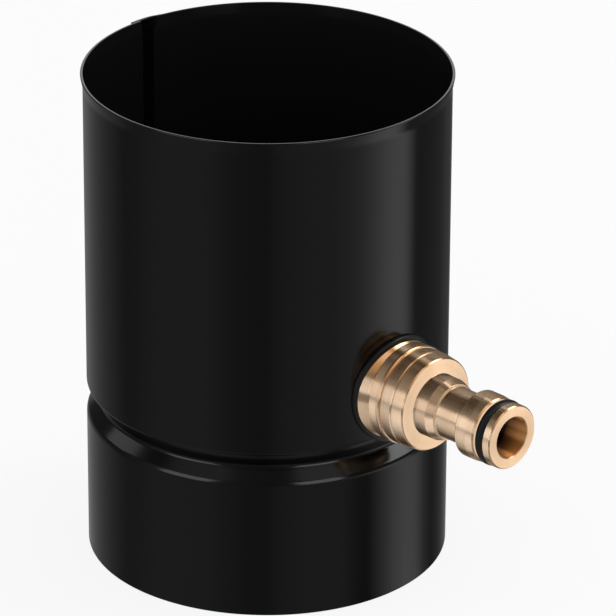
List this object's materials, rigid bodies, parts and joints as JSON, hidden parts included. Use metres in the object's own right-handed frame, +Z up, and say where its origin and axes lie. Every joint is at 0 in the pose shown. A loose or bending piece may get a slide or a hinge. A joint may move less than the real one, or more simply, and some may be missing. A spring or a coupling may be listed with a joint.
{
  "type": "rainwater diverter",
  "caption": "Short round downpipe section with an inward bead, an inner catch ring and a turned brass side outlet with a hose nipple, which leads rainwater to a barrel.",
  "frame": {"origin": "on the tube's axis at its lower end", "axes": "+Z up the tube's axis, +X along the hose outlet"},
  "size_m": [0.1252, 0.088, 0.1215],
  "materials": {
    "black_coat": "semi-gloss black coating on sheet steel",
    "turned_brass": "polished turned brass",
    "black_rubber": "smooth black rubber"
  },
  "bodies": {
    "root": {"body_tube": "black_coat", "catch_ring": "black_coat", "ring_seal": "black_rubber", "outlet_seal": "black_rubber", "outlet_bush": "turned_brass", "bush_washer": "black_rubber", "lock_nut": "turned_brass", "hose_nipple": "turned_brass", "nipple_washer": "black_rubber", "nipple_o_ring": "black_rubber"}
  },
  "joints": []
}
